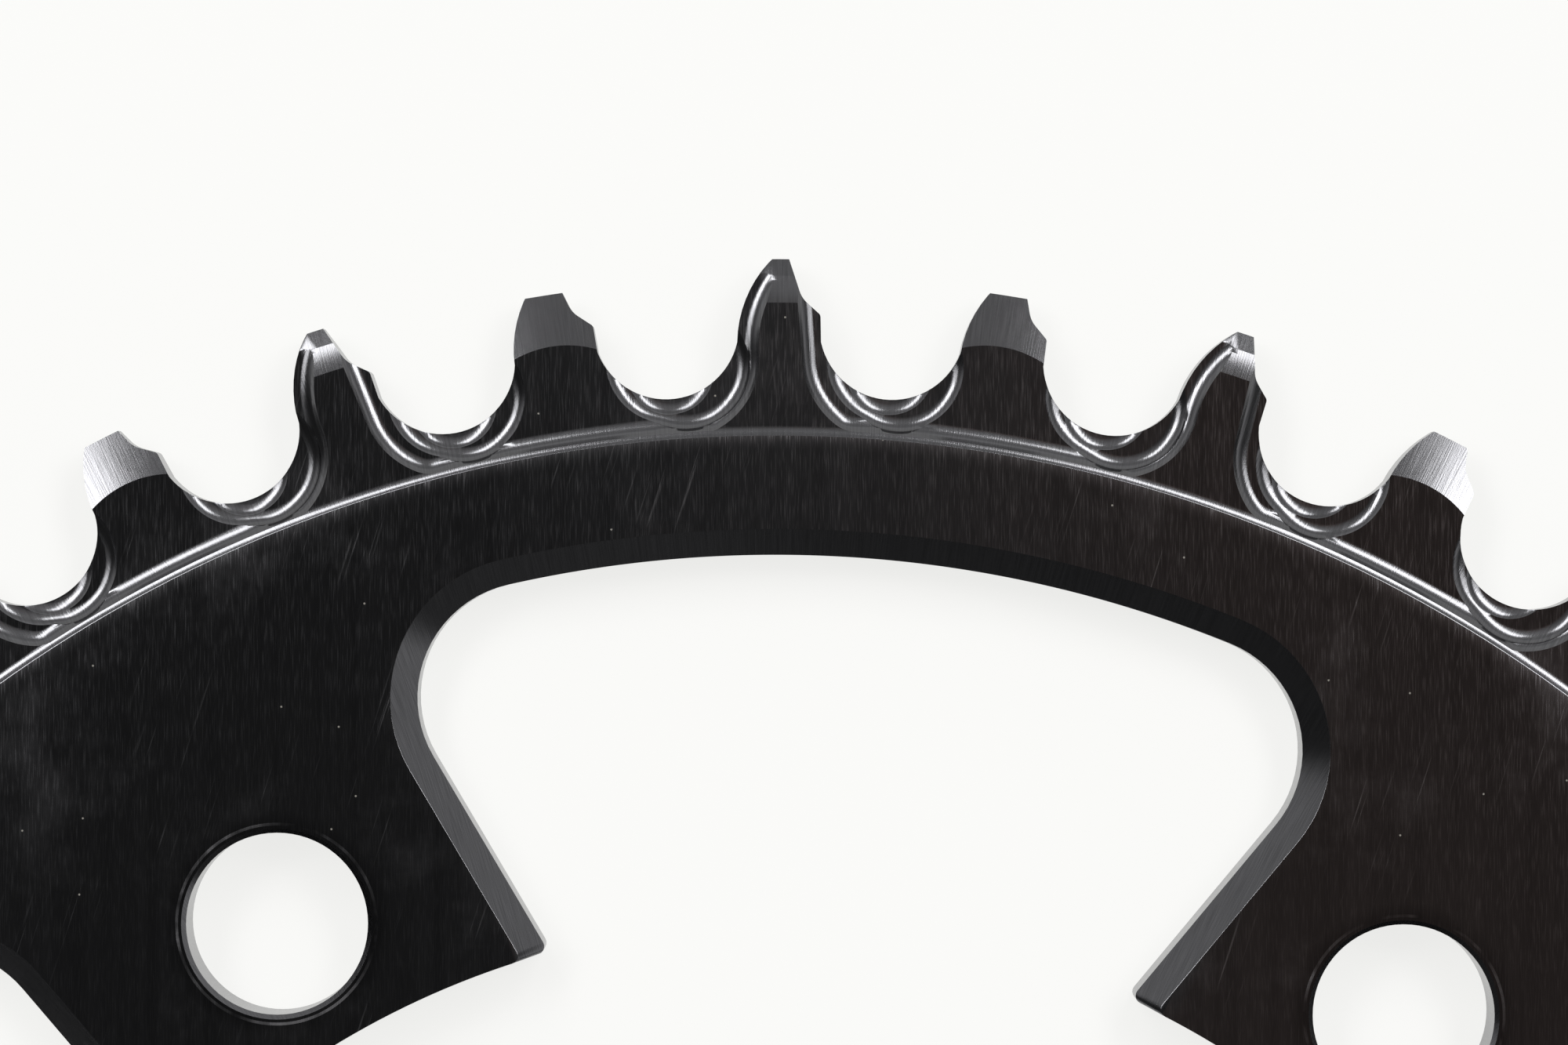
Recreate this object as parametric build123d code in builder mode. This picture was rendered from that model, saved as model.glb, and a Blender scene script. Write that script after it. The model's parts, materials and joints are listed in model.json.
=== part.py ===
# Narrow-wide bicycle chainring, milled from one plate of aluminium alloy.
# It lies on its back face: the back is at z = 0, the front faces +Z and the axis is Z.
# +Y points at a valley midway between two bolt holes, with a wide tooth to its left.
import os
from math import atan2, cos, degrees, radians, sin, tan

from build123d import *

os.makedirs("parts", exist_ok=True)

# Driving dimensions, in millimetres and degrees

# chain and teeth
tooth_pairs = 20  # one wide and one narrow tooth in each pair
chain_pitch = 12.7
wide_tip_rise = 3.75  # tips and root are measured from the pitch circle
narrow_tip_rise = 2.72
root_drop = 3.9

# thickness of each level, front face to back face
body_thickness = 4.0
wide_tooth_thickness = 3.5
narrow_tooth_thickness = 2.1

# gap between two teeth, in its own frame: x along the chain, rise from the pitch circle
seat_half_width = 3.93
seat_end_rise = -0.99
shoulder_x = -4.08  # the trailing tooth's shoulder, left of the gap
shoulder_rise = 0.53
ramp_angle = 37.3
ramp_length = 1.42
back_angle = 22.4  # lean of the tooth above the ramp
lead_mid_x = 4.69  # the leading flank, right of the gap, is one arc to the tip
lead_mid_rise = 1.56
lead_end_x = 6.48  # just past the tip
lead_end_rise = 3.72

# rim
step_drop = 6.13  # edge of the body face, below the pitch circle
step_cove = 0.5
rim_width = 6.75  # from that edge to the windows

# relief beside the ribs of the wide teeth
relief_step = 1.07  # from the edge of the body face to the narrow level
relief_cove = 0.75  # width of the sloping side of a rib
relief_foot_angle = 48.0  # lean of that side where it meets the rim
trail_relief_r = 4.95  # arc in the gap behind a wide tooth
trail_relief_rise = -1.43
trail_relief_lean = 9.0
lead_relief_r = 4.45  # arc in the gap ahead of a wide tooth
lead_relief_x = 0.65
lead_relief_rise = -1.73
lead_groove_end_x = 6.8
lead_groove_end_rise = 2.57

# tip bevels
wide_bevel_rise = 1.27
wide_bevel_angle = 22.0
narrow_bevel_rise = -0.4
narrow_bevel_angle = 10.5

# bolt tabs
bolt_circle_d = 110.0
bolt_angle = 70.35  # between the two holes either side of +Y
bolt_hole_d = 10.2
tab_end_margin = 7.5  # from the bolt circle to the tab's inner end
tab_half_width = 12.25
tab_flare = 10.0  # lean of the tab's side along the wide windows
window_corner_r = 6.5
window_chamfer_width = 1.45
window_chamfer_depth = 1.2

# Sizes that follow from those above
tooth_count = 2 * tooth_pairs
half_step = 180 / tooth_count
pitch_r = chain_pitch / (2 * sin(radians(half_step)))
wide_tip_r = pitch_r + wide_tip_rise
narrow_tip_r = pitch_r + narrow_tip_rise
step_r = pitch_r - step_drop
window_r = step_r - rim_width
bolt_r = bolt_circle_d / 2
tab_end_r = bolt_r - tab_end_margin
bolt_spacing_x = bolt_circle_d * sin(radians(bolt_angle / 2))
bolt_spacing_y = bolt_circle_d * cos(radians(bolt_angle / 2))
mid_z = body_thickness / 2
wide_z = mid_z + wide_tooth_thickness / 2
narrow_z = mid_z + narrow_tooth_thickness / 2
clear = 5.0  # how far a cut runs past the metal
slope_overrun = 0.25  # how far the slope of a relief cut runs past the body face


def in_gap(x, rise, turn=0.0):
    # a point in a gap's frame, turned about the ring's axis
    return Vector(x, pitch_r + rise).rotate(Axis.Z, turn)


# Gap between two teeth
ramp_x = shoulder_x - ramp_length * cos(radians(ramp_angle))
ramp_rise = shoulder_rise + ramp_length * sin(radians(ramp_angle))
back_rise = lead_end_rise + clear
back_x = ramp_x - (back_rise - ramp_rise) * tan(radians(back_angle))
with BuildSketch() as gap:
    with BuildLine():
        seat = ThreePointArc(
            in_gap(-seat_half_width, seat_end_rise),
            in_gap(0, -root_drop),
            in_gap(seat_half_width, seat_end_rise),
        )
        lead = ThreePointArc(
            seat @ 1,
            in_gap(lead_mid_x, lead_mid_rise),
            in_gap(lead_end_x, lead_end_rise),
        )
        Polyline(
            lead @ 1,
            in_gap(lead_end_x, back_rise),
            in_gap(back_x, back_rise),
            in_gap(ramp_x, ramp_rise),
            in_gap(shoulder_x, shoulder_rise),
            seat @ 0,
        )
    make_face()

# Relief cut round one narrow tooth, from the rib before it to the rib after it
slope_rise = body_thickness - narrow_z + slope_overrun
slope_run = relief_cove * slope_rise / (wide_z - narrow_z)
outset = slope_run - relief_cove
trail_r = trail_relief_r + outset
lead_r = lead_relief_r + outset
groove_x = lead_groove_end_x + outset
top_rise = wide_tip_rise + clear
reach = top_rise - trail_relief_rise
with BuildPart() as relief:
    with BuildSketch(Plane.XY.offset(narrow_z)):
        with BuildLine():
            trail_arc = CenterArc(
                in_gap(0, trail_relief_rise, half_step),
                trail_r,
                start_angle=270 - relief_foot_angle + half_step,
                arc_size=relief_foot_angle - 90 + trail_relief_lean,
            )
            trail_line = Line(trail_arc @ 1, trail_arc @ 1 + (trail_arc % 1) * reach)
            trail_foot = Line(trail_arc @ 0, trail_arc @ 0 - (trail_arc % 0) * clear)
            lead_arc = CenterArc(
                in_gap(lead_relief_x, lead_relief_rise, -half_step),
                lead_r,
                start_angle=relief_foot_angle - 90 - half_step,
                arc_size=90 - relief_foot_angle,
            )
            lead_foot = Line(lead_arc @ 0, lead_arc @ 0 - (lead_arc % 0) * clear)
            groove = TangentArc(
                lead_arc @ 1,
                in_gap(groove_x, lead_groove_end_rise, -half_step),
                tangent=lead_arc % 1,
            )
            Polyline(groove @ 1, in_gap(groove_x, top_rise, -half_step), trail_line @ 1)
            Line(trail_foot @ 1, lead_foot @ 1)
            rib_curves = (trail_foot, trail_arc, trail_line, lead_foot, lead_arc, groove)
        make_face()
    extrude(amount=clear)
    relief_floor = relief.faces().sort_by(Axis.Z)[0]
    rib_sides = [relief_floor.edges().sort_by_distance(curve @ 0.5)[0] for curve in rib_curves]
    chamfer(rib_sides, slope_run, slope_rise, reference=relief_floor)
    with BuildSketch(Plane.XZ):
        with BuildLine():
            Polyline(
                (step_r + relief_step, narrow_z),
                (step_r, body_thickness),
                (step_r, narrow_z + clear),
                (pitch_r + 2 * clear, narrow_z + clear),
                (pitch_r + 2 * clear, narrow_z),
                close=True,
            )
        make_face()
    revolve(axis=Axis.Z, mode=Mode.INTERSECT)


def tip_bevel(rise, level, angle):
    # wedge that bevels a tooth's tip, from this rise on this level
    run = wide_tip_rise - rise + clear
    with BuildPart() as wedge:
        with BuildSketch(Plane.YZ):
            with BuildLine():
                Polyline(
                    (pitch_r + rise, level),
                    (pitch_r + rise + run, level - run * tan(radians(angle))),
                    (pitch_r + rise + run, level + clear),
                    (pitch_r + rise, level + clear),
                    close=True,
                )
            make_face()
        extrude(amount=chain_pitch / 2, both=True)
    return wedge.part


# Land that takes the tip off a narrow tooth
with BuildSketch() as narrow_tip:
    with Locations((0, narrow_tip_r + clear)):
        Rectangle(chain_pitch, 2 * clear)
    Circle(narrow_tip_r, mode=Mode.SUBTRACT)

# Four windows between the bolt tabs, then the whole opening inside the rim
tab_top = window_r + window_corner_r
flare_run = (tab_top - tab_end_r) * tan(radians(tab_flare))
with BuildSketch() as tab:
    with BuildLine():
        Polyline(
            (tab_half_width, 0),
            (tab_half_width, tab_top),
            (-tab_half_width - flare_run, tab_top),
            (-tab_half_width, tab_end_r),
            (-tab_half_width, 0),
            close=True,
        )
    make_face()
with BuildSketch() as tabs:
    with Locations(Rotation(0, 0, bolt_angle / 2)):
        add(tab.sketch)
    mirror(about=Plane.YZ)
    mirror(about=Plane.XZ)
with BuildSketch() as windows:
    Circle(window_r)
    add(tabs.sketch, mode=Mode.SUBTRACT)
    roots = windows.vertices().filter_by(lambda v: abs(v.center().length - window_r) < 0.01)
    fillet(roots, window_corner_r)
with BuildSketch() as opening:
    add(windows.sketch)
    Circle(tab_end_r)

# Front half of the ring
with BuildPart() as chainring:
    with BuildSketch(Plane.XZ):
        with BuildLine():
            Polyline(
                (tab_end_r, mid_z),
                (tab_end_r, body_thickness),
                (step_r, body_thickness),
                (step_r + step_cove, wide_z),
                (wide_tip_r, wide_z),
                (wide_tip_r, mid_z),
                close=True,
            )
        make_face()
    revolve(axis=Axis.Z)
    with PolarLocations(0, tooth_pairs, start_angle=-half_step):
        add(relief.part, mode=Mode.SUBTRACT)
        add(tip_bevel(narrow_bevel_rise, narrow_z, narrow_bevel_angle), mode=Mode.SUBTRACT)
    with PolarLocations(0, tooth_pairs, start_angle=half_step):
        add(tip_bevel(wide_bevel_rise, wide_z, wide_bevel_angle), mode=Mode.SUBTRACT)
    with BuildSketch(Plane.XY.offset(mid_z)):
        with PolarLocations(0, tooth_pairs, start_angle=-half_step):
            add(narrow_tip.sketch)
        with PolarLocations(0, tooth_count):
            add(gap.sketch)
    extrude(amount=body_thickness, mode=Mode.SUBTRACT)
    with BuildSketch(Plane.XY.offset(mid_z)):
        add(opening.sketch)
    extrude(amount=body_thickness, mode=Mode.SUBTRACT)
    # the back half mirrors the front
    mirror(about=Plane.XY.offset(mid_z))
    # only the front edges of the windows are bevelled
    bevel_slope = degrees(atan2(window_chamfer_width, window_chamfer_depth))
    with BuildSketch(Plane.XY.offset(body_thickness - window_chamfer_depth)):
        add(windows.sketch)
    extrude(amount=2 * window_chamfer_depth, taper=-bevel_slope, mode=Mode.SUBTRACT)
    with GridLocations(bolt_spacing_x, bolt_spacing_y, 2, 2):
        Hole(bolt_hole_d / 2)
chainring.part.label = "chainring"
export_step(chainring.part, "parts/chainring.step")
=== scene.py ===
# Bicycle chainring lying on a white table, seen from straight above
import json
from math import atan2, cos, degrees, hypot, pi, radians, sin, sqrt, tan

import bpy
from mathutils import Matrix, Vector


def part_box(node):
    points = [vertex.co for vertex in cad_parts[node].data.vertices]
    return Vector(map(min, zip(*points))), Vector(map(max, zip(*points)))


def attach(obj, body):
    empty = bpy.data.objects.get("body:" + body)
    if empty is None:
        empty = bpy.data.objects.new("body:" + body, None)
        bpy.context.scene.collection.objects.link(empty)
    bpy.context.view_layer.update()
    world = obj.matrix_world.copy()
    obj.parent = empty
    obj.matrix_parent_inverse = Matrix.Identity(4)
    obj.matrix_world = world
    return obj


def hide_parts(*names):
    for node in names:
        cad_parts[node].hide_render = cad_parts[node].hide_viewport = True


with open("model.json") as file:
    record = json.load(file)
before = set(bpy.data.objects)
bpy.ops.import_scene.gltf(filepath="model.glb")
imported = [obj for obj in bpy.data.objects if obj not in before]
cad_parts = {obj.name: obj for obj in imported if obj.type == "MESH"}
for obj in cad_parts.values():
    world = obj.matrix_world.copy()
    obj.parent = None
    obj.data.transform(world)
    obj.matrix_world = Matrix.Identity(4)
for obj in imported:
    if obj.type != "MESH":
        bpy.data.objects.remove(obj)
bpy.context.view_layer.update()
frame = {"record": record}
print("stage: frame loaded")

# the ring is modelled in millimetres about its mid-plane, then set down in metres
mm = 0.001
lowCorner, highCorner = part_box("chainring")
halfBody = (highCorner[2] - lowCorner[2]) / mm / 2
mounts = frame["record"]["mounts"]
boltSizes = next(mount for mount in mounts if mount["name"] == "bolt_holes")["dims"]
boltX = boltSizes["spacing_x_mm"] / 2
boltY = boltSizes["spacing_y_mm"] / 2
boltHoleR = boltSizes["hole_r_mm"]

# how near points have to be, in mm, to be picked or merged
near = {"level": 0.001, "wall": 0.02, "spin": 0.0005, "mirror": 0.002, "join": 0.003}
# how much of a face's normal lies along a line
normalShare = {"none": 0.1, "most": 0.9, "all": 0.999}


def only(piece):
    # one object selected and active
    bpy.ops.object.select_all(action="DESELECT")
    piece.select_set(True)
    bpy.context.view_layer.objects.active = piece


def editing(piece, select="SELECT"):
    only(piece)
    bpy.ops.object.mode_set(mode="EDIT")
    bpy.ops.mesh.select_all(action=select)


def done():
    bpy.ops.object.mode_set(mode="OBJECT")


def pick(piece, kind, test):
    # edges or faces chosen in code, with nothing else left selected
    editing(piece, "DESELECT")
    bpy.ops.mesh.select_mode(type=kind)
    done()
    mesh = piece.data
    if kind == "EDGE":
        for edge in mesh.edges:
            edge.select = test(*[mesh.vertices[i].co for i in edge.vertices])
    else:
        for face in mesh.polygons:
            face.select = test(face.center, face.normal)
    bpy.ops.object.mode_set(mode="EDIT")


def openFaces(piece, test):
    # faces go where another piece joins on
    pick(piece, "FACE", test)
    bpy.ops.mesh.delete(type="FACE")
    done()


def pull(height):
    # what is selected is extruded straight up or down
    bpy.ops.mesh.extrude_region_move(TRANSFORM_OT_translate={"value": (0, 0, height)})


def closeUp(gap):
    # doubles merged, then all faces turned outwards
    bpy.ops.mesh.select_all(action="SELECT")
    bpy.ops.mesh.remove_doubles(threshold=gap)
    bpy.ops.mesh.normals_make_consistent(inside=False)
    done()


def flatFace(name, outline, fill="NGON"):
    # one face with this outline
    bpy.ops.object.select_all(action="DESELECT")
    bpy.ops.mesh.primitive_circle_add(vertices=len(outline), fill_type=fill)
    piece = bpy.context.object
    piece.name = name
    for vert, place in zip(piece.data.vertices, outline):
        vert.co = place
    return piece


def plate(name, outline, low, high):
    piece = flatFace(name, [(x, y, low) for x, y in outline])
    editing(piece)
    pull(high - low)
    bpy.ops.mesh.select_all(action="SELECT")
    bpy.ops.mesh.normals_make_consistent(inside=False)
    done()
    return piece


def openOut(piece, level, lower, upper):
    # the points at this level go from one outline to another of as many points
    for vert in piece.data.vertices:
        if abs(vert.co.z - level) < near["level"]:
            gaps = [hypot(x - vert.co.x, y - vert.co.y) for x, y in lower]
            vert.co.xy = upper[gaps.index(min(gaps))]


def turned(name, profile, centre, start, sweep, steps):
    # a profile of radius and height, spun clockwise about a point from a bearing off +Y
    side = radians(start)
    places = [(centre[0] - r * sin(side), centre[1] + r * cos(side), z) for r, z in profile]
    piece = flatFace(name, places, "NOTHING" if sweep == 360 else "NGON")  # a whole turn has no ends
    editing(piece)
    bpy.ops.mesh.spin(steps=steps, angle=radians(sweep), center=(*centre, 0), axis=(0, 0, 1))
    closeUp(near["spin"])
    return piece


def roundNose(piece, low, radius, steps, inside=lambda place: True):
    # the cutter's bottom edge gets its corner radius
    pick(piece, "EDGE", lambda a, b: max(a.z, b.z) < low + near["level"] and inside((a + b) / 2))
    bpy.ops.mesh.bevel(offset=radius, segments=steps, profile=0.5, affect="EDGES", clamp_overlap=False)
    done()


def turnedCopy(piece, bearing):
    # a copy turned anticlockwise about the ring's axis
    only(piece)
    bpy.ops.object.duplicate()
    twin = bpy.context.object
    twin.rotation_euler.z = radians(bearing)
    bpy.ops.object.transform_apply(location=False, rotation=True, scale=False)
    return twin


def applyModifier(piece, kind, **settings):
    only(piece)
    change = piece.modifiers.new("change", kind)
    for name, value in settings.items():
        setattr(change, name, value)
    bpy.ops.object.modifier_apply(modifier=change.name)


def drop(*pieces):
    for piece in pieces:
        bpy.data.objects.remove(piece)


def cut(piece, cutter):
    applyModifier(piece, "BOOLEAN", operation="DIFFERENCE", solver="EXACT", object=cutter)
    drop(cutter)


def arc(centre, r, start, end, step=5.0, count=0):
    # points on an arc, in degrees from +X
    count = count or max(2, round(abs(end - start) / step))
    angles = [radians(start + (end - start) * i / count) for i in range(count + 1)]
    return [(centre[0] + r * cos(a), centre[1] + r * sin(a)) for a in angles]


def circle(centre, r):
    return arc(centre, r, 0, 360)[:-1]


def circleThrough(a, b, c):
    # centre and radius of the circle through three points
    bx, by = b[0] - a[0], b[1] - a[1]
    cx, cy = c[0] - a[0], c[1] - a[1]
    d = 2 * (bx * cy - by * cx)
    x = (cy * (bx * bx + by * by) - by * (cx * cx + cy * cy)) / d
    y = (bx * (cx * cx + cy * cy) - cx * (bx * bx + by * by)) / d
    return (a[0] + x, a[1] + y), hypot(x, y)


def bearingOf(centre, place):
    return degrees(atan2(place[1] - centre[1], place[0] - centre[0]))


def shortWay(start, end):
    # the end bearing, counted the short way round from the start
    return start + (end - start + 180) % 360 - 180


def corner(before, place, after, r, steps):
    # a rounded corner of a line
    place = Vector(place)
    back = (Vector(before) - place).normalized()
    onward = (Vector(after) - place).normalized()
    half = back.angle(onward) / 2
    middle = place + (back + onward).normalized() * r / sin(half)
    start = bearingOf(middle, place + back * r / tan(half))
    end = shortWay(start, bearingOf(middle, place + onward * r / tan(half)))
    return arc(middle, r, start, end, count=steps)


def swung(points, bearing):
    # points turned about the ring's axis
    c, s = cos(radians(bearing)), sin(radians(bearing))
    return [(x * c - y * s, x * s + y * c) for x, y in points]


# Teeth: one wide tooth with half a narrow tooth each side
# a pair of numbers is a place across and above the pitch circle, unless its note says otherwise
tooth = {
    "pairs": 20,
    "chainPitch": 12.7,
    "wideTipRise": 3.75,  # rises are from the pitch circle
    "narrowTipRise": 2.72,
    "wideHalf": 1.8,  # half thicknesses
    "narrowHalf": 1.3,
    "rootDrop": 3.9,
    "seatEnd": (3.93, -0.99),
    "leadMid": (4.69, 1.56),
    "leadEnd": (6.48, 3.72),
    "shoulder": (-4.08, 0.53),
    "shoulderRound": 0.3,
    "shoulderSteps": 4,  # steps are the facets of a round
    "ramp": (37.3, 1.42),  # angle and length
    "rampRound": 1.5,
    "rampSteps": 5,
    "backLean": 22.4,
    "backReach": 6.0,  # how far the gap's cutter rises past the ramp
    "bevelRise": 1.27,  # the wide tip's bevel steepens from one lean to the other
    "bevelLean": (8.0, 22.0),
    "bevelSteps": 6,
    "facetRise": 2.78,  # then a flat facet runs to the tip
    "facetLean": 29.0,
    "coneCentre": (-0.15, -6.2),  # the narrow tip's bevel is a cone about this point
    "coneR": 6.0,
    "coneLean": 12.0,
    "coneSpan": (1.0, 8.0),  # how far its cutter reaches inside and outside that circle
    "coneSweep": (51.0, 101.0),  # the cutter's first bearing and its sweep
    "coneSteps": 40,
    "tipSweep": (95.2, 84.9),  # bearings from +X of the cutter that ends a narrow tooth
    "tipSpacing": (0.5, 2.0),  # degrees between points along its inner and outer arcs
}
rim = {
    "innerDrop": 8.93,  # where the teeth join the body
    "stepDrop": 6.13,  # edge of the body's face
    "edgeRound": (0.08, 0.04),  # width and drop of the worn edge
    "edgeSweep": 80.0,  # degrees that it turns through
    "edgeSteps": 6,
    "stepCove": 0.5,
    "coveSteps": 5,
    "sectorSteps": 18,  # facets of the rim in one wide and one narrow tooth
}
relief = {
    "bandDrop": 5.82,  # inner wall, below the pitch circle
    "lean": 50.0,  # slope of the walls
    "foot": 0.95,  # radius where they meet the floor
    "footSteps": 6,
    "trailR": 4.95,
    "trailCentre": (0, -1.43),
    "trailLean": 9.0,
    "trailTurn": 1.8,  # radius where the arc turns into the inner wall
    "trailReach": 14.0,  # how far the cutter runs on past the arc
    "trailSteps": 16,
    "leadR": 4.45,
    "leadCentre": (0.65, -1.73),
    "leadTurn": 1.0,
    "leadSteps": 12,
    "grooveEnd": (6.8, 2.57),
    "grooveReach": (2.5, 4.0),  # how far the cutter runs on, across and up
    "grooveSteps": 10,
    "turnSteps": 8,
    "wallSteps": 10,
    "lidDrop": 0.5,  # edges above this, from the ends of the walls, are the cutter's lid and stay sharp
}
valley = {
    "half": 0.96,
    "r": 3.8,
    "nose": 1.0,
    "noseSteps": 5,
    "start": (0, -1.73),
    "ends": {-1: (0.65, -2.03), 1: (0.95, -2.03)},  # right and left of a wide tooth
}
seat = {"half": 0.73, "r": 2.85, "nose": 1.0, "noseSteps": 5, "centre": (0.05, -2.28)}

over = 3.0  # how far a cutter runs past the metal
slopeOver = 0.3  # the same for one with sloping walls
halfStep = 90 / tooth["pairs"]
pitchR = tooth["chainPitch"] / (2 * sin(radians(halfStep)))
wideTipR = pitchR + tooth["wideTipRise"]
narrowTipR = pitchR + tooth["narrowTipRise"]
rimInnerR = pitchR - rim["innerDrop"]
stepR = pitchR - rim["stepDrop"]


def onPitch(x, rise):
    # a place beside +Y, measured from the pitch circle
    return (x, pitchR + rise)


# front half of the rim, from the mid-plane up
edgeWidth, edgeDrop = rim["edgeRound"]
coveFall = halfBody - edgeDrop - tooth["wideHalf"]
coveR = (rim["stepCove"] ** 2 + coveFall ** 2) / (2 * coveFall)
coveSweep = degrees(atan2(rim["stepCove"], coveR - coveFall))
coveCentre = (stepR + rim["stepCove"], tooth["wideHalf"] + coveR)
bevelStart = pitchR + tooth["bevelRise"]
facetStart = pitchR + tooth["facetRise"]
bevelRun = facetStart - bevelStart
bevelSlope, lastSlope = [tan(radians(lean)) for lean in tooth["bevelLean"]]
bevelBend = (lastSlope - bevelSlope) / (2 * bevelRun)
facetHalf = tooth["wideHalf"] - bevelSlope * bevelRun - bevelBend * bevelRun ** 2
tipHalf = facetHalf - (wideTipR - facetStart) * tan(radians(tooth["facetLean"]))
rimProfile = [(rimInnerR, 0), (rimInnerR, halfBody)]
for i in range(rim["edgeSteps"] + 1):
    turn = radians(rim["edgeSweep"] * i / rim["edgeSteps"])
    rimProfile += [(stepR - edgeWidth * (1 - sin(turn)), halfBody - edgeDrop * (1 - cos(turn)))]
rimProfile += arc(coveCentre, coveR, 270 - coveSweep, 270, count=rim["coveSteps"])
for i in range(tooth["bevelSteps"] + 1):
    along = bevelRun * i / tooth["bevelSteps"]
    rimProfile += [(bevelStart + along, tooth["wideHalf"] - bevelSlope * along - bevelBend * along ** 2)]
rimProfile += [(wideTipR, tipHalf), (wideTipR, 0)]
rimPart = turned("rimPart", rimProfile, (0, 0), 2 * halfStep, 4 * halfStep, rim["sectorSteps"])
print("stage: rim blank")

# relief cut round a narrow tooth, drawn with that tooth at +Y, with sloping walls
bandR = pitchR - relief["bandDrop"]
trailCentre = onPitch(*relief["trailCentre"])
leadCentre = onPitch(*relief["leadCentre"])
grooveEnd = onPitch(*relief["grooveEnd"])
grooveStart = (leadCentre[0] + relief["leadR"], leadCentre[1])
grooveAcross = grooveEnd[0] - grooveStart[0]
grooveUp = grooveEnd[1] - grooveStart[1]
grooveR = (grooveAcross ** 2 + grooveUp ** 2) / (2 * grooveAcross)
grooveCentre = (grooveStart[0] + grooveR, grooveStart[1])


def footTurn(centre, r, wallR, side, bend):
    # where an arc of the relief leaves its circle, and the bend that takes it into the inner wall
    far = hypot(*centre)
    outR = wallR + bend
    along = (outR ** 2 - (r - bend) ** 2 + far ** 2) / (2 * far)
    off = side * sqrt(outR ** 2 - along ** 2)
    ux, uy = centre[0] / far, centre[1] / far
    middle = (along * ux + off * uy, along * uy - off * ux)
    leave = bearingOf(centre, middle)
    inward = shortWay(leave, bearingOf(middle, (0, 0)))
    return leave, arc(middle, bend, leave, inward, count=relief["turnSteps"])


def reliefOutline(level):
    # the walls stand back further the higher they are
    grow = (level - tooth["wideHalf"]) / tan(radians(relief["lean"]))
    trailR = relief["trailR"] + grow
    leadR = relief["leadR"] + grow
    wallR = bandR - grow
    lean = radians(relief["trailLean"])
    trailEnd, trailBend = footTurn(trailCentre, trailR, wallR, -1, relief["trailTurn"] + grow)
    trail = arc(trailCentre, trailR, 180 + relief["trailLean"], trailEnd % 360, count=relief["trailSteps"])
    reach = relief["trailReach"]
    trailTop = (trail[0][0] - reach * sin(lean), trail[0][1] + reach * cos(lean))
    leadStart, leadBend = footTurn(leadCentre, leadR, wallR, 1, relief["leadTurn"] + grow)
    lead = leadBend[::-1] + arc(leadCentre, leadR, leadStart, 0, count=relief["leadSteps"])[1:]
    grooveTurn = bearingOf(grooveCentre, grooveEnd)
    groove = arc(grooveCentre, grooveR - grow, 180, grooveTurn, count=relief["grooveSteps"])
    grooveTop = (groove[-1][0] + relief["grooveReach"][0], groove[-1][1] + relief["grooveReach"][1])
    left = swung([trailTop] + trail + trailBend[1:], halfStep)
    right = swung(lead + groove[1:] + [grooveTop], -halfStep)
    wallStart, wallEnd = bearingOf((0, 0), left[-1]), bearingOf((0, 0), right[0])
    wall = arc((0, 0), wallR, wallStart, wallEnd, count=relief["wallSteps"])
    return left + wall[1:-1] + right


reliefLow = reliefOutline(tooth["narrowHalf"])
reliefTop = halfBody + slopeOver
reliefCutter = plate("reliefCutter", reliefLow, tooth["narrowHalf"], reliefTop)
openOut(reliefCutter, reliefTop, reliefLow, reliefOutline(reliefTop))
lidLevel = min(reliefLow[0][1], reliefLow[-1][1]) - relief["lidDrop"]
footWidth = relief["foot"] * tan(radians(relief["lean"] / 2))
roundNose(reliefCutter, tooth["narrowHalf"], footWidth, relief["footSteps"], lambda place: place.y < lidLevel)

# bevel and land on a narrow tip
coneCentre = onPitch(*tooth["coneCentre"])
coneSlope = tan(radians(tooth["coneLean"]))
coneInside, coneOutside = tooth["coneSpan"]
coneIn = tooth["coneR"] - coneInside
coneOut = tooth["coneR"] + coneOutside
coneProfile = [
    (coneIn, tooth["narrowHalf"] + coneInside * coneSlope),
    (coneOut, tooth["narrowHalf"] - coneOutside * coneSlope),
    (coneOut, halfBody + over),
    (coneIn, halfBody + over),
]
coneCutter = turned("coneCutter", coneProfile, coneCentre, *tooth["coneSweep"], tooth["coneSteps"])
tipFrom, tipTo = tooth["tipSweep"]
tipOutline = arc((0, 0), narrowTipR, tipFrom, tipTo, tooth["tipSpacing"][0])
tipOutline += arc((0, 0), wideTipR + over, tipTo, tipFrom, tooth["tipSpacing"][1])
tipCutter = plate("tipCutter", tipOutline, -over, halfBody + over)

# gap between two teeth
seatEnd = onPitch(*tooth["seatEnd"])
seatStart = (-seatEnd[0], seatEnd[1])
root = onPitch(0, -tooth["rootDrop"])
seatCentre, seatR = circleThrough(seatStart, root, seatEnd)
leadEnd = onPitch(*tooth["leadEnd"])
flankCentre, flankR = circleThrough(seatEnd, onPitch(*tooth["leadMid"]), leadEnd)
rampAngle = radians(tooth["ramp"][0])
rampLength = tooth["ramp"][1]
shoulder = onPitch(*tooth["shoulder"])
rampTop = (shoulder[0] - rampLength * cos(rampAngle), shoulder[1] + rampLength * sin(rampAngle))
backReach = tooth["backReach"]
backTop = (rampTop[0] - backReach * tan(radians(tooth["backLean"])), rampTop[1] + backReach)
seatArc = arc(seatCentre, seatR, bearingOf(seatCentre, seatStart), bearingOf(seatCentre, seatEnd))
flank = arc(flankCentre, flankR, bearingOf(flankCentre, seatEnd), bearingOf(flankCentre, leadEnd))
gapOutline = seatArc + flank[1:] + [(leadEnd[0], backTop[1]), backTop]
gapOutline += corner(backTop, rampTop, shoulder, tooth["rampRound"], tooth["rampSteps"])
gapOutline += corner(rampTop, shoulder, seatStart, tooth["shoulderRound"], tooth["shoulderSteps"])
gapCutter = plate("gapCutter", gapOutline, -over, halfBody + over)

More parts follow.
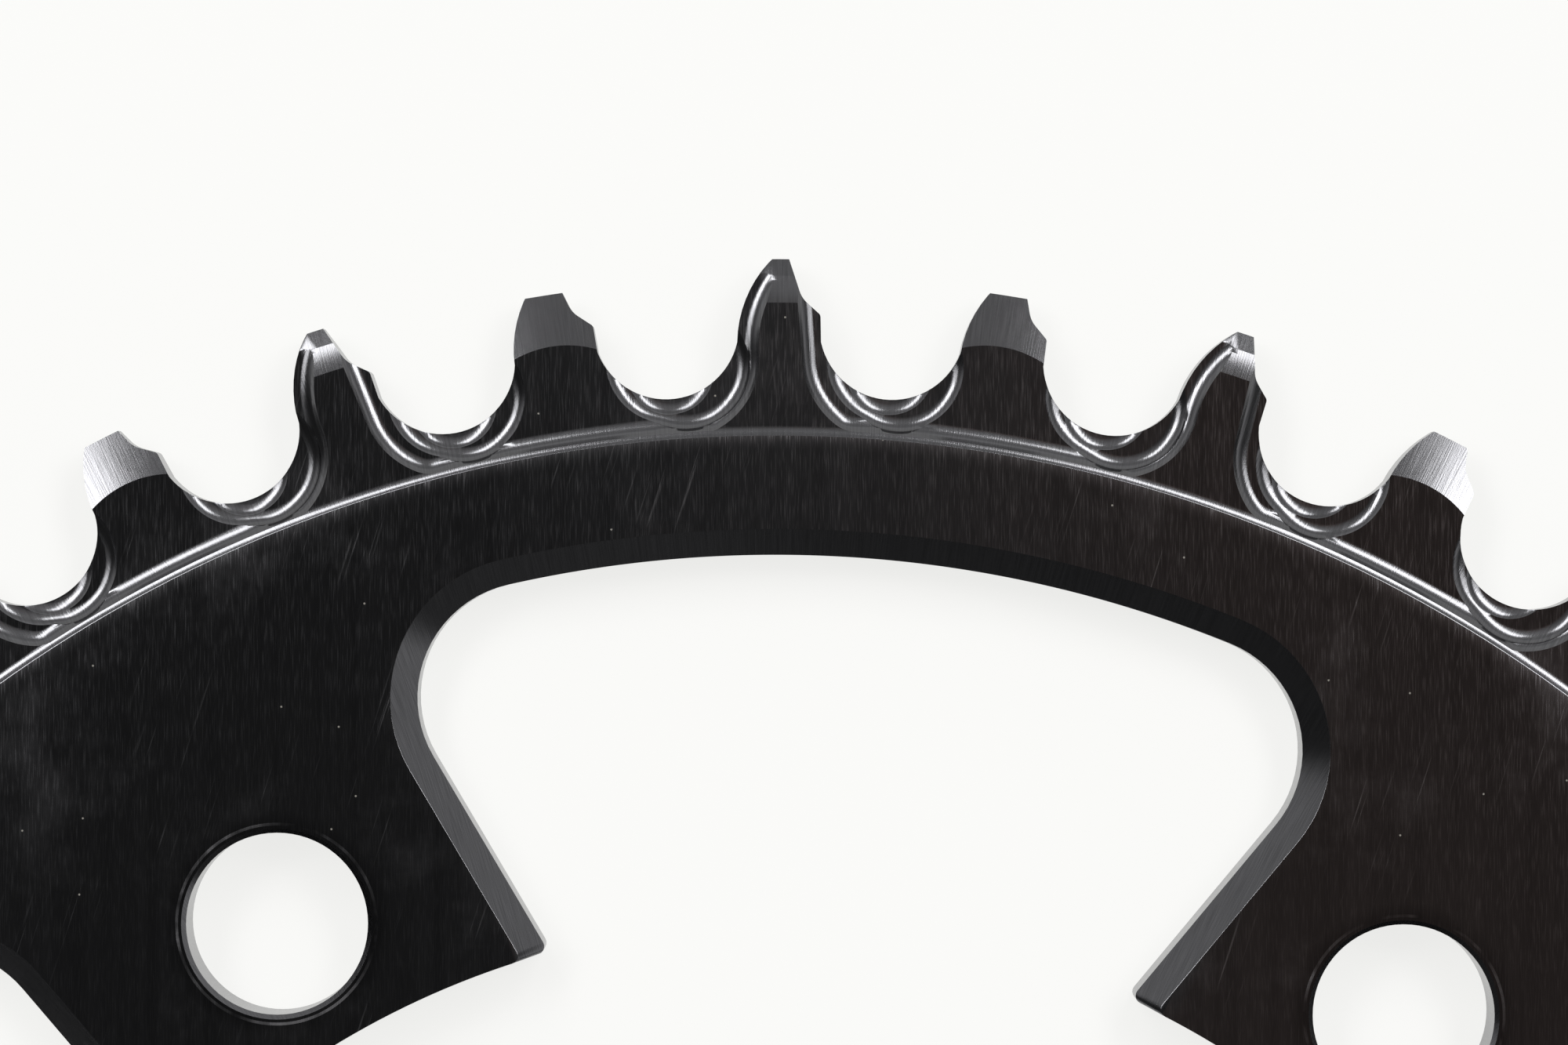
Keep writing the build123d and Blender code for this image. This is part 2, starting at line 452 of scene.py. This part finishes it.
for bearing in (-2 * halfStep, 2 * halfStep):
    for cutter in (reliefCutter, coneCutter, tipCutter):
        cut(rimPart, turnedCopy(cutter, bearing))
for side in (-1, 1):
    # two pockets in each gap, one inside the other
    first = onPitch(*valley["start"])
    second = onPitch(*valley["ends"][side])
    way = bearingOf(first, second)
    outline = arc(second, valley["r"], way - 90, way + 90) + arc(first, valley["r"], way + 90, way + 270)
    valleyCutter = plate("valleyCutter", outline, valley["half"], halfBody + over)
    roundNose(valleyCutter, valley["half"], valley["nose"], valley["noseSteps"])
    seatOutline = circle(onPitch(*seat["centre"]), seat["r"])
    seatCutter = plate("seatCutter", seatOutline, seat["half"], halfBody + over)
    roundNose(seatCutter, seat["half"], seat["nose"], seat["noseSteps"])
    for cutter in (valleyCutter, seatCutter, gapCutter):
        cut(rimPart, turnedCopy(cutter, side * halfStep))
    drop(valleyCutter, seatCutter)
drop(reliefCutter, coneCutter, tipCutter, gapCutter)
print("stage: one pair of teeth,", len(rimPart.data.polygons), "faces")

# creases that are too shallow to show as edges by their angle
crease = {"wide": 0.01, "coneLevel": 0.005, "cone": 0.02}  # how near both ends of an edge have to lie
coneSides = [Vector((*swung([coneCentre], side * 2 * halfStep)[0], 0)) for side in (-1, 1)]


def onCrease(place):
    flat = Vector((place.x, place.y, 0))
    for startR, half in ((bevelStart, tooth["wideHalf"]), (facetStart, facetHalf)):
        if abs(flat.length - startR) < crease["wide"] and abs(place.z - half) < crease["wide"]:
            return True
    onLevel = abs(place.z - tooth["narrowHalf"]) < crease["coneLevel"]
    return onLevel and any(abs((flat - side).length - tooth["coneR"]) < crease["cone"] for side in coneSides)


pick(rimPart, "EDGE", lambda a, b: onCrease(a) and onCrease(b))
bpy.ops.mesh.mark_sharp()
done()

# open the ends, the mid-plane and the inner wall, where the copies and the body join on
endWalls = [Vector((cos(radians(a)), sin(radians(a)), 0)) for a in (-2 * halfStep, 2 * halfStep)]


def isJoin(place, normal):
    if place.z < near["level"]:
        return True
    if hypot(place.x, place.y) < rimInnerR + near["wall"] and abs(normal.z) < normalShare["none"]:
        return True
    for wall in endWalls:
        if abs(place.dot(wall)) < near["level"] and abs(normal.dot(wall)) > normalShare["all"]:
            return True
    return False


openFaces(rimPart, isJoin)
applyModifier(rimPart, "MIRROR", use_axis=(False, False, True), merge_threshold=near["mirror"])
ring = turnedCopy(rimPart, halfStep)  # +Y is in a gap, with a wide tooth on its left
drop(rimPart)
ring.name = "milledRing"
copies = [turnedCopy(ring, 4 * halfStep * i) for i in range(1, tooth["pairs"])]

# Body: a flat ring with four windows and four bolt holes
body = {
    "tabEndR": 47.5,
    "windowR": 68.05,
    "tabHalf": 12.25,
    "tabBearing": degrees(atan2(boltX, boltY)),  # of the first tab, clockwise from +Y
    "flare": 10.0,
    "windowRound": 6.5,
    "chamferWidth": 1.45,
    "chamferDepth": 1.2,
    "chamferBreak": (0.03, 0.012),  # worn edge where the chamfer meets the face
    "tabCorner": 0.45,
    "holeBreak": 0.25,
    "seam": 0.5,  # bearing where the body's spin starts, so that its points meet the rim's
    "mouthR": 40.0,  # the windows' cutters end here, inside the tabs
    "windowSteps": 40,
    "roundSteps": 20,
    "cornerSteps": 5,
    "smooth": 28.0,  # edges that turn by less than this are shaded smooth
}
bodyProfile = [
    (body["tabEndR"], -halfBody),
    (rimInnerR, -halfBody),
    (rimInnerR, halfBody),
    (body["tabEndR"], halfBody),
]
plainBody = turned("plainBody", bodyProfile, (0, 0), body["seam"], 360, rim["sectorSteps"] * tooth["pairs"])


def windowHalf(spread, flare, grow):
    # outline of half a window, from its middle out: spread is the angle from its middle to the tab's axis
    lean = radians(90 - spread + flare)
    normal = Vector((-sin(lean), cos(lean)))  # from the tab's side into the window
    along = Vector((normal.y, -normal.x))
    tab = Vector((sin(radians(spread)), cos(radians(spread))))
    across = Vector((-tab.y, tab.x))
    side = (tab * body["tabEndR"] + across * body["tabHalf"]).dot(normal) - grow
    outer = body["windowR"] + grow
    bend = body["windowRound"] + grow
    deep = side + bend
    middle = normal * deep + along * sqrt((outer - bend) ** 2 - deep ** 2)
    top = bearingOf((0, 0), middle)
    bottom = bearingOf((0, 0), -normal) % 360 - 360
    outline = arc((0, 0), outer, 90, top, count=body["windowSteps"])
    outline += arc(middle, bend, top, bottom, count=body["roundSteps"])[1:]
    # rounded corner at the tab's inner end
    small = body["tabCorner"]
    heel = normal * (side - small) + along * sqrt((body["tabEndR"] + small) ** 2 - (side - small) ** 2)
    first = bearingOf((0, 0), normal)
    last = shortWay(first, bearingOf((0, 0), -heel))
    outline += arc(heel, small, first, last, count=body["cornerSteps"])
    return outline + [tuple(heel.normalized() * body["mouthR"])]


def windowCutter(spread, flare):
    def whole(grow):
        half = windowHalf(spread, flare, grow)
        return half + [(-x, y) for x, y in reversed(half[1:])]

    depth, width = body["chamferDepth"], body["chamferWidth"]
    breakWidth, breakDepth = body["chamferBreak"]
    inner = width * (1 - breakDepth / depth)
    outer = inner + breakWidth * (1 + slopeOver / breakDepth)
    cutter = plate("windowCutter", whole(0), -halfBody - over, halfBody - depth)
    # the chamfer, then its worn edge
    for rise, lower, upper in ((depth - breakDepth, 0, inner), (breakDepth + slopeOver, inner, outer)):
        pick(cutter, "FACE", lambda place, normal: normal.z > normalShare["most"])
        pull(rise)
        done()
        openOut(cutter, max(vert.co.z for vert in cutter.data.vertices), whole(lower), whole(upper))
    return cutter


narrowWindow = windowCutter(body["tabBearing"], 0)
wideWindow = windowCutter(90 - body["tabBearing"], body["flare"])
for bearing in (0, 180):
    cut(plainBody, turnedCopy(narrowWindow, bearing))
    cut(plainBody, turnedCopy(wideWindow, bearing + 90))
drop(narrowWindow, wideWindow)
holeBreak = body["holeBreak"]
holeCutter = plate("holeCutter", circle((0, 0), boltHoleR), holeBreak - halfBody, halfBody - holeBreak)
flareScale = 1 + 2 * holeBreak / boltHoleR
for way in (-1, 1):
    pick(holeCutter, "FACE", lambda place, normal: normal.z * way > normalShare["most"])
    pull(2 * way * holeBreak)
    bpy.ops.transform.resize(value=(flareScale, flareScale, 1), center_override=(0, 0, 0))
    done()
for x in (-boltX, boltX):
    for y in (-boltY, boltY):
        twin = turnedCopy(holeCutter, 0)
        twin.location = (x, y, 0)
        cut(plainBody, twin)
drop(holeCutter)


def isRimWall(place, normal):
    return hypot(place.x, place.y) > rimInnerR - near["wall"] and abs(normal.z) < normalShare["none"]


openFaces(plainBody, isRimWall)
print("stage: body,", len(plainBody.data.polygons), "faces")

# teeth and body become one closed piece, in metres on its back
bpy.ops.object.select_all(action="DESELECT")
for piece in copies + [plainBody, ring]:
    piece.select_set(True)
bpy.context.view_layer.objects.active = ring
bpy.ops.object.join()
editing(ring)
closeUp(near["join"])
ring.location = (0, 0, halfBody * mm)
ring.scale = (mm, mm, mm)
bpy.ops.object.transform_apply(location=True, rotation=False, scale=True)
bpy.ops.object.shade_smooth_by_angle(angle=radians(body["smooth"]), keep_sharp_edges=True)
applyModifier(ring, "WEIGHTED_NORMAL", keep_sharp=True)
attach(ring, "root")
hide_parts("chainring")
print("stage: ring,", sum(len(face.vertices) - 2 for face in ring.data.polygons), "triangles")


def hexColour(code):
    # sRGB hex to linear
    parts = [int(code[i:i + 2], 16) / 255 for i in (1, 3, 5)]
    return (*[c / 12.92 if c <= 0.04045 else ((c + 0.055) / 1.055) ** 2.4 for c in parts], 1)


def addNode(tree, kind, inputs=None, **settings):
    made = tree.nodes.new(kind)
    for name, value in settings.items():
        setattr(made, name, value)
    for name, value in (inputs or {}).items():
        if isinstance(value, bpy.types.NodeSocket):
            tree.links.new(value, made.inputs[name])
        else:
            made.inputs[name].default_value = value
    return made


# Black anodised aluminium: the plate was ground one way before the dye went in, then milled and dyed.
# Faces are near black with fine straight lines and wear, cut surfaces are smoother and catch the lamps.
finish = {
    "dye": "#5a5a5c",
    "dust": "#77746c",
    "toneRange": (0.93, 2.0),  # brightness of the dye where it is whole and where it is worn
    "faceRough": 0.1,
    "cutRough": 0.18,
    "wearRough": 0.06,  # roughness that wear and smudges add
    "smudgeRough": 0.04,
    "flatFrom": (0.994, 0.999),  # how upright a normal is, from a cut surface to a flat face
    "grindBearing": 4.65,  # degrees from +Y, anticlockwise
    "line": (0.06, 1.4),  # width and length in mm; real lines are half as wide, too fine to show
    "lineFrom": (0.5, 0.85),  # noise levels between which a mark comes in, here and below
    "lineFade": (8.0, 0.4),  # how far inside the windows' outer edge lines are weakest, and how weak
    "streak": (0.6, 30.0),
    "streakFrom": (0.3, 0.7),
    "streakTone": (0.88, 1.12),
    "bevelLine": (0.08, 2.6),
    "bevelFrom": (0.3, 0.7),
    "bevelTone": (0.82, 1.18),
    "scratch": (0.12, 7.0),  # width and length in mm
    "scratchFrom": (0.64, 0.76),
    "scratchBearing": -13.0,
    "patch": 5.0,  # scratches come in patches about this wide
    "patchFrom": (0.5, 0.66),
    "smudge": 8.0,  # spacings in mm, here and of the dust
    "smudgeFrom": (0.52, 0.74),
    "speck": 4.6,
    "speckSize": (0.007, 0.016),  # radius of a speck as a share of its spacing, from whole to gone
    "speckMissing": 0.62,  # share of places with no speck
    "rub": (0.5, 1.3),  # ring darkened by a bolt's head, from the hole's edge
    "rubTone": 0.7,
    "rubLine": 0.08,  # half width of the bright line round it
    "rubFrom": (0.42, 0.58),
    "edgeWear": 0.9,  # width of the paler band along the edge of the face
    "edgePower": 2.0,  # how sharply it comes in
    "edgeMargin": 0.1,  # how far past the edge it stops
    "grain": 0.06,  # of the cut, in mm
    "grainHeight": 0.5,  # against the height of the lines
    "bumpDepth": 0.01,  # mm
    "cutBump": 0.4,
    "faceBump": 0.1,
}
# how strongly each mark wears the dye
wearOf = {"lines": 1.6, "scratches": 1.2, "rubLine": 2.5, "edge": 0.9, "edgeLines": 1.2, "smudges": 0.6}


def perMm(size):
    # scale of a pattern with marks of this width across X and this length along Y
    return (1 / (size[0] * mm), 1 / (size[1] * mm), 1 / (size[1] * mm))


anodised = bpy.data.materials.new("blackAnodisedAluminium")
anodised.use_nodes = True
tree = anodised.node_tree
tree.nodes.clear()
place = addNode(tree, "ShaderNodeTexCoord").outputs["Object"]

# flat faces point straight up or down, all else was cut afterwards
facing = addNode(tree, "ShaderNodeNewGeometry").outputs["Normal"]
facing = addNode(tree, "ShaderNodeSeparateXYZ", {"Vector": facing}).outputs["Z"]
facing = addNode(tree, "ShaderNodeMath", {0: facing}, operation="ABSOLUTE").outputs[0]
low, high = finish["flatFrom"]
flatMask = addNode(tree, "ShaderNodeMapRange", {
    "Value": facing, "From Min": low, "From Max": high}).outputs[0]

# ground lines and broad streaks
turn = (0, 0, -radians(finish["grindBearing"]))
straight = addNode(tree, "ShaderNodeMapping", {"Vector": place, "Rotation": turn}).outputs[0]
lines = addNode(tree, "ShaderNodeMapping", {"Vector": straight, "Scale": perMm(finish["line"])}).outputs[0]
lines = addNode(tree, "ShaderNodeTexNoise", {"Vector": lines, "Scale": 1.0, "Detail": 2.0}).outputs["Fac"]
low, high = finish["lineFrom"]
lineMask = addNode(tree, "ShaderNodeMapRange", {"Value": lines, "From Min": low, "From Max": high}).outputs[0]
streaks = addNode(tree, "ShaderNodeMapping", {
    "Vector": straight, "Scale": perMm(finish["streak"])}).outputs[0]
streaks = addNode(tree, "ShaderNodeTexNoise", {"Vector": streaks, "Scale": 1.0, "Detail": 2.0}).outputs["Fac"]
low, high = finish["streakFrom"]
dark, pale = finish["streakTone"]
streakTone = addNode(tree, "ShaderNodeMapRange", {
    "Value": streaks, "From Min": low, "From Max": high, "To Min": dark, "To Max": pale}).outputs[0]

# on the bevels the lines run out from the axis
axes = addNode(tree, "ShaderNodeSeparateXYZ", {"Vector": place}).outputs
around = addNode(tree, "ShaderNodeMath", {0: axes["X"], 1: axes["Y"]}, operation="ARCTAN2").outputs[0]
around = addNode(tree, "ShaderNodeMath", {0: around, 1: pitchR * mm}, operation="MULTIPLY").outputs[0]
outward = addNode(tree, "ShaderNodeVectorMath", {0: place}, operation="LENGTH").outputs["Value"]
fadeDrop, fadeTo = finish["lineFade"]
fadeStart = (body["windowR"] - fadeDrop) * mm
fade = addNode(tree, "ShaderNodeMapRange", {
    "Value": outward, "From Min": fadeStart, "From Max": stepR * mm, "To Min": fadeTo}).outputs[0]
lineMask = addNode(tree, "ShaderNodeMath", {0: lineMask, 1: fade}, operation="MULTIPLY").outputs[0]
polar = addNode(tree, "ShaderNodeCombineXYZ", {"X": around, "Y": outward}).outputs[0]
polar = addNode(tree, "ShaderNodeMapping", {"Vector": polar, "Scale": perMm(finish["bevelLine"])}).outputs[0]
cutLines = addNode(tree, "ShaderNodeTexNoise", {"Vector": polar, "Scale": 1.0, "Detail": 2.0}).outputs["Fac"]

# smudges, scattered scratches and dust
smudges = addNode(tree, "ShaderNodeTexNoise", {
    "Vector": place, "Scale": 1 / (finish["smudge"] * mm), "Detail": 5.0, "Roughness": 0.6}).outputs["Fac"]
low, high = finish["smudgeFrom"]
smudgeMask = addNode(tree, "ShaderNodeMapRange", {
    "Value": smudges, "From Min": low, "From Max": high}).outputs[0]
turn = (0, 0, -radians(finish["scratchBearing"]))
slanted = addNode(tree, "ShaderNodeMapping", {"Vector": place, "Rotation": turn}).outputs[0]
slanted = addNode(tree, "ShaderNodeMapping", {
    "Vector": slanted, "Scale": perMm(finish["scratch"])}).outputs[0]
scratches = addNode(tree, "ShaderNodeTexNoise", {
    "Vector": slanted, "Scale": 1.0, "Detail": 1.0}).outputs["Fac"]
low, high = finish["scratchFrom"]
scratches = addNode(tree, "ShaderNodeMapRange", {
    "Value": scratches, "From Min": low, "From Max": high}).outputs[0]
patches = addNode(tree, "ShaderNodeTexNoise", {
    "Vector": place, "Scale": 1 / (finish["patch"] * mm)}).outputs["Fac"]
low, high = finish["patchFrom"]
patches = addNode(tree, "ShaderNodeMapRange", {
    "Value": patches, "From Min": low, "From Max": high}).outputs[0]
scratchMask = addNode(tree, "ShaderNodeMath", {0: scratches, 1: patches}, operation="MULTIPLY").outputs[0]
dust = addNode(tree, "ShaderNodeTexVoronoi", {
    "Vector": place, "Scale": 1 / (finish["speck"] * mm)}, voronoi_dimensions="2D").outputs
whole, gone = finish["speckSize"]
speckMask = addNode(tree, "ShaderNodeMapRange", {
    "Value": dust["Distance"], "From Min": whole, "From Max": gone, "To Min": 1.0, "To Max": 0.0}).outputs[0]
few = addNode(tree, "ShaderNodeSeparateXYZ", {"Vector": dust["Color"]}).outputs["X"]
few = addNode(tree, "ShaderNodeMath", {
    0: few, 1: finish["speckMissing"]}, operation="GREATER_THAN").outputs[0]
speckMask = addNode(tree, "ShaderNodeMath", {0: speckMask, 1: few}, operation="MULTIPLY").outputs[0]

# rings rubbed round the bolt holes
boltAt = (boltX * mm, boltY * mm, 0)
fromBolt = addNode(tree, "ShaderNodeVectorMath", {0: place}, operation="ABSOLUTE").outputs[0]
fromBolt = addNode(tree, "ShaderNodeVectorMath", {0: fromBolt, 1: boltAt}, operation="SUBTRACT").outputs[0]
fromBolt = addNode(tree, "ShaderNodeVectorMath", {0: fromBolt, 1: (1, 1, 0)}, operation="MULTIPLY").outputs[0]
fromBolt = addNode(tree, "ShaderNodeVectorMath", {0: fromBolt}, operation="LENGTH").outputs["Value"]
rubIn, rubOut = [(boltHoleR + gap) * mm for gap in finish["rub"]]
rubMask = addNode(tree, "ShaderNodeMapRange", {
    "Value": fromBolt, "From Min": rubIn, "From Max": rubOut, "To Min": 1.0, "To Max": 0.0}).outputs[0]
rubLine = addNode(tree, "ShaderNodeMath", {
    0: fromBolt, 1: rubIn, 2: finish["rubLine"] * mm}, operation="COMPARE").outputs[0]
low, high = finish["rubFrom"]
rubPart = addNode(tree, "ShaderNodeMapRange", {
    "Value": smudges, "From Min": low, "From Max": high}).outputs[0]
rubLine = addNode(tree, "ShaderNodeMath", {0: rubLine, 1: rubPart}, operation="MULTIPLY").outputs[0]

# the edge of the face is worn paler
bandStart = (stepR - finish["edgeWear"]) * mm
faceEnd = (stepR + finish["edgeMargin"]) * mm
edgeMask = addNode(tree, "ShaderNodeMapRange", {
    "Value": outward, "From Min": bandStart, "From Max": stepR * mm}).outputs[0]
edgeMask = addNode(tree, "ShaderNodeMath", {
    0: edgeMask, 1: finish["edgePower"]}, operation="POWER").outputs[0]
onFace = addNode(tree, "ShaderNodeMath", {0: outward, 1: faceEnd}, operation="LESS_THAN").outputs[0]
edgeMask = addNode(tree, "ShaderNodeMath", {0: edgeMask, 1: onFace}, operation="MULTIPLY").outputs[0]

# height of the lines and the fine grain of the cut
grain = addNode(tree, "ShaderNodeTexNoise", {
    "Vector": place, "Scale": 1 / (finish["grain"] * mm), "Detail": 2.0}).outputs["Fac"]
cutHeight = addNode(tree, "ShaderNodeMath", {
    0: grain, 1: finish["grainHeight"], 2: cutLines}, operation="MULTIPLY_ADD").outputs[0]
height = addNode(tree, "ShaderNodeMix", {0: flatMask, 2: cutHeight, 3: lines}).outputs[0]
strength = addNode(tree, "ShaderNodeMapRange", {
    "Value": flatMask, "To Min": finish["cutBump"], "To Max": finish["faceBump"]}).outputs[0]
bump = addNode(tree, "ShaderNodeBump", {
    "Height": height, "Strength": strength, "Distance": finish["bumpDepth"] * mm}).outputs[0]

# wear on the faces makes the dye paler and duller
edgeAmount = addNode(tree, "ShaderNodeMath", {
    0: lineMask, 1: wearOf["edgeLines"], 2: wearOf["edge"]}, operation="MULTIPLY_ADD").outputs[0]
marks = [
    (scratchMask, wearOf["scratches"]),
    (rubLine, wearOf["rubLine"]),
    (edgeMask, edgeAmount),
    (smudgeMask, wearOf["smudges"]),
]
wear = addNode(tree, "ShaderNodeMath", {0: lineMask, 1: wearOf["lines"]}, operation="MULTIPLY").outputs[0]
for mask, amount in marks:
    wear = addNode(tree, "ShaderNodeMath", {
        0: mask, 1: amount, 2: wear}, operation="MULTIPLY_ADD").outputs[0]
wear = addNode(tree, "ShaderNodeMath", {0: wear, 1: flatMask}, operation="MULTIPLY").outputs[0]
dyed, worn = finish["toneRange"]
tone = addNode(tree, "ShaderNodeMapRange", {
    "Value": wear, "To Min": dyed, "To Max": worn}, clamp=False).outputs[0]
rubTone = addNode(tree, "ShaderNodeMapRange", {
    "Value": rubMask, "To Min": 1.0, "To Max": finish["rubTone"]}).outputs[0]
for share in (streakTone, rubTone):
    tone = addNode(tree, "ShaderNodeMath", {0: tone, 1: share}, operation="MULTIPLY").outputs[0]
low, high = finish["bevelFrom"]
dark, pale = finish["bevelTone"]
cutTone = addNode(tree, "ShaderNodeMapRange", {
    "Value": cutLines, "From Min": low, "From Max": high, "To Min": dark, "To Max": pale}).outputs[0]
tone = addNode(tree, "ShaderNodeMix", {0: flatMask, 2: cutTone, 3: tone}).outputs[0]
dye = addNode(tree, "ShaderNodeVectorMath", {
    0: hexColour(finish["dye"])[:3], "Scale": tone}, operation="SCALE").outputs[0]
speckMask = addNode(tree, "ShaderNodeMath", {0: speckMask, 1: flatMask}, operation="MULTIPLY").outputs[0]
colour = addNode(tree, "ShaderNodeMix", {
    0: speckMask, 6: dye, 7: hexColour(finish["dust"])}, data_type="RGBA").outputs[2]
metallic = addNode(tree, "ShaderNodeMath", {0: 1.0, 1: speckMask}, operation="SUBTRACT").outputs[0]
rough = addNode(tree, "ShaderNodeMapRange", {
    "Value": flatMask, "To Min": finish["cutRough"], "To Max": finish["faceRough"]}).outputs[0]
for mask, amount in ((smudgeMask, finish["smudgeRough"]), (wear, finish["wearRough"])):
    rough = addNode(tree, "ShaderNodeMath", {
        0: mask, 1: amount, 2: rough}, operation="MULTIPLY_ADD").outputs[0]
metal = addNode(tree, "ShaderNodeBsdfPrincipled", {
    "Base Color": colour, "Metallic": metallic, "Roughness": rough, "Normal": bump})
addNode(tree, "ShaderNodeOutputMaterial", {"Surface": metal.outputs[0]})
ring.data.materials.clear()
ring.data.materials.append(anodised)
print("stage: anodised finish")

# White table
table = {"size": 6.0, "drop": 0.0001, "matt": "#ececea", "white": "#f6f6f4", "keepShadow": 0.12}  # sizes in m
bpy.ops.object.select_all(action="DESELECT")
bpy.ops.mesh.primitive_plane_add(size=table["size"], location=(0, 0, -table["drop"]))
floor = bpy.context.object
floor.name = "whiteTable"
paper = bpy.data.materials.new("mattWhitePaper")  # even and bright, with a faint shadow
paper.use_nodes = True
tree = paper.node_tree
tree.nodes.clear()
ray = addNode(tree, "ShaderNodeLightPath").outputs
seen = ray["Is Camera Ray"]
for kind in ("Is Glossy Ray", "Is Transmission Ray"):
    seen = addNode(tree, "ShaderNodeMath", {0: seen, 1: ray[kind]}, operation="MAXIMUM").outputs[0]
glow = addNode(tree, "ShaderNodeMath", {0: seen, 1: 1 - table["keepShadow"]}, operation="MULTIPLY").outputs[0]
matt = addNode(tree, "ShaderNodeBsdfDiffuse", {"Color": hexColour(table["matt"])}).outputs[0]
bright = addNode(tree, "ShaderNodeEmission", {"Color": hexColour(table["white"]), "Strength": 1.0}).outputs[0]
sheet = addNode(tree, "ShaderNodeMixShader", {0: glow, 1: matt, 2: bright}).outputs[0]
addNode(tree, "ShaderNodeOutputMaterial", {"Surface": sheet})
floor.data.materials.append(paper)

# Camera straight above the top of the ring, turned a little to the left
view = {"middle": (-5.18, 69.68), "above": 300.0, "roll": 4.65, "field": 87.83}  # mm and degrees
camera = bpy.data.cameras.new("camera")
camera.sensor_width = 36
camera.sensor_fit = "HORIZONTAL"
camera.lens = camera.sensor_width * view["above"] / view["field"]
camera.clip_start = 0.01
camera.clip_end = 20
eye = bpy.data.objects.new("camera", camera)
bpy.context.scene.collection.objects.link(eye)
eye.location = (view["middle"][0] * mm, view["middle"][1] * mm, (2 * halfBody + view["above"]) * mm)
eye.rotation_euler = (0, 0, radians(view["roll"]))
bpy.context.scene.camera = eye
bpy.context.scene.view_settings.view_transform = "Standard"

# Soft boxes: a high and a side one to the left and to the right, with a dark gap between the high ones
lamps = {  # degrees right of the camera, up the picture and of lean, metres, and brightness
    "leftHigh": {"across": -30.2, "up": 31, "lean": -10, "size": (0.23, 0.6), "radiance": 11.0},
    "rightHigh": {"across": 30.2, "up": 31, "lean": 10, "size": (0.23, 0.6), "radiance": 11.5},
    "leftSide": {"across": -34, "up": 12, "lean": 0, "size": (0.4, 0.3), "radiance": 5.0},
    "rightSide": {"across": 34, "up": 12, "lean": 0, "size": (0.4, 0.3), "radiance": 5.0},
}
lampAway = 0.9  # metres
lampAimY = 75  # mm from the ring's axis
aim = Vector((view["middle"][0] * mm, lampAimY * mm, halfBody * mm))
for name, lamp in lamps.items():
    light = bpy.data.lights.new(name, "AREA")
    light.shape = "RECTANGLE"
    light.size, light.size_y = lamp["size"]
    light.energy = lamp["radiance"] * pi * light.size * light.size_y
    box = bpy.data.objects.new(name, light)
    bpy.context.scene.collection.objects.link(box)
    box.rotation_euler = (-radians(lamp["up"]), radians(lamp["across"]), radians(view["roll"]))
    stand = box.rotation_euler.to_matrix()
    box.location = aim + stand @ Vector((0, 0, lampAway))
    box.rotation_euler = (stand @ Matrix.Rotation(radians(lamp["lean"]), 3, "Z")).to_euler()

# A dim room, paler to the right and towards its walls and the top of the picture, and warmer overhead
# on the right. Directions are parts of a unit vector, X right, Y up the picture and Z overhead.
room = {
    "right": (-0.06, 0.03),  # X over which the lower part grows paler
    "rightLight": (0.068, 0.145),
    "top": (0.0, 0.5),  # Y over which it grows paler still
    "topLight": 0.66,
    "wall": (0.6, 0.15),  # Z over which the walls come in
    "wallSlant": 0.35,  # how much X counts beside Y in how bright they are
    "wallRange": (-0.4, -0.05),
    "wallLight": (0.1, 1.05),
    "overhead": (0.9, 0.98),  # Z
    "warmSide": (0.0, 0.08),  # X
    "plain": "#ffffff",
    "warm": "#ffe6dc",
}
world = bpy.data.worlds.new("dimRoom")
bpy.context.scene.world = world
world.use_nodes = True
tree = world.node_tree
tree.nodes.clear()
turn = (0, 0, -radians(view["roll"]))
way = addNode(tree, "ShaderNodeTexCoord").outputs["Generated"]
way = addNode(tree, "ShaderNodeMapping", {"Vector": way, "Rotation": turn}).outputs[0]
way = addNode(tree, "ShaderNodeSeparateXYZ", {"Vector": way}).outputs
low, high = room["right"]
dark, pale = room["rightLight"]
lower = addNode(tree, "ShaderNodeMapRange", {
    "Value": way["X"], "From Min": low, "From Max": high, "To Min": dark, "To Max": pale}).outputs[0]
low, high = room["top"]
pale = room["topLight"]
upper = addNode(tree, "ShaderNodeMapRange", {
    "Value": way["Y"], "From Min": low, "From Max": high, "To Min": lower, "To Max": pale}).outputs[0]
low, high = room["wall"]
walls = addNode(tree, "ShaderNodeMapRange", {
    "Value": way["Z"], "From Min": low, "From Max": high, "To Min": 0.0, "To Max": 1.0}).outputs[0]
slant = addNode(tree, "ShaderNodeMath", {
    0: way["X"], 1: room["wallSlant"], 2: way["Y"]}, operation="MULTIPLY_ADD").outputs[0]
low, high = room["wallRange"]
dark, pale = room["wallLight"]
wallLight = addNode(tree, "ShaderNodeMapRange", {
    "Value": slant, "From Min": low, "From Max": high, "To Min": dark, "To Max": pale},
    interpolation_type="SMOOTHSTEP").outputs[0]
walls = addNode(tree, "ShaderNodeMath", {0: walls, 1: wallLight}, operation="MULTIPLY").outputs[0]
shade = addNode(tree, "ShaderNodeMath", {0: upper, 1: walls}, operation="MAXIMUM").outputs[0]
low, high = room["overhead"]
overhead = addNode(tree, "ShaderNodeMapRange", {
    "Value": way["Z"], "From Min": low, "From Max": high}).outputs[0]
low, high = room["warmSide"]
warmth = addNode(tree, "ShaderNodeMapRange", {
    "Value": way["X"], "From Min": low, "From Max": high}).outputs[0]
warmth = addNode(tree, "ShaderNodeMath", {0: warmth, 1: overhead}, operation="MULTIPLY").outputs[0]
tint = addNode(tree, "ShaderNodeMix", {
    0: warmth, 6: hexColour(room["plain"]), 7: hexColour(room["warm"])}, data_type="RGBA").outputs[2]
backdrop = addNode(tree, "ShaderNodeBackground", {"Color": tint, "Strength": shade}).outputs[0]
addNode(tree, "ShaderNodeOutputWorld", {"Surface": backdrop})
print("stage: table, camera and lamps")
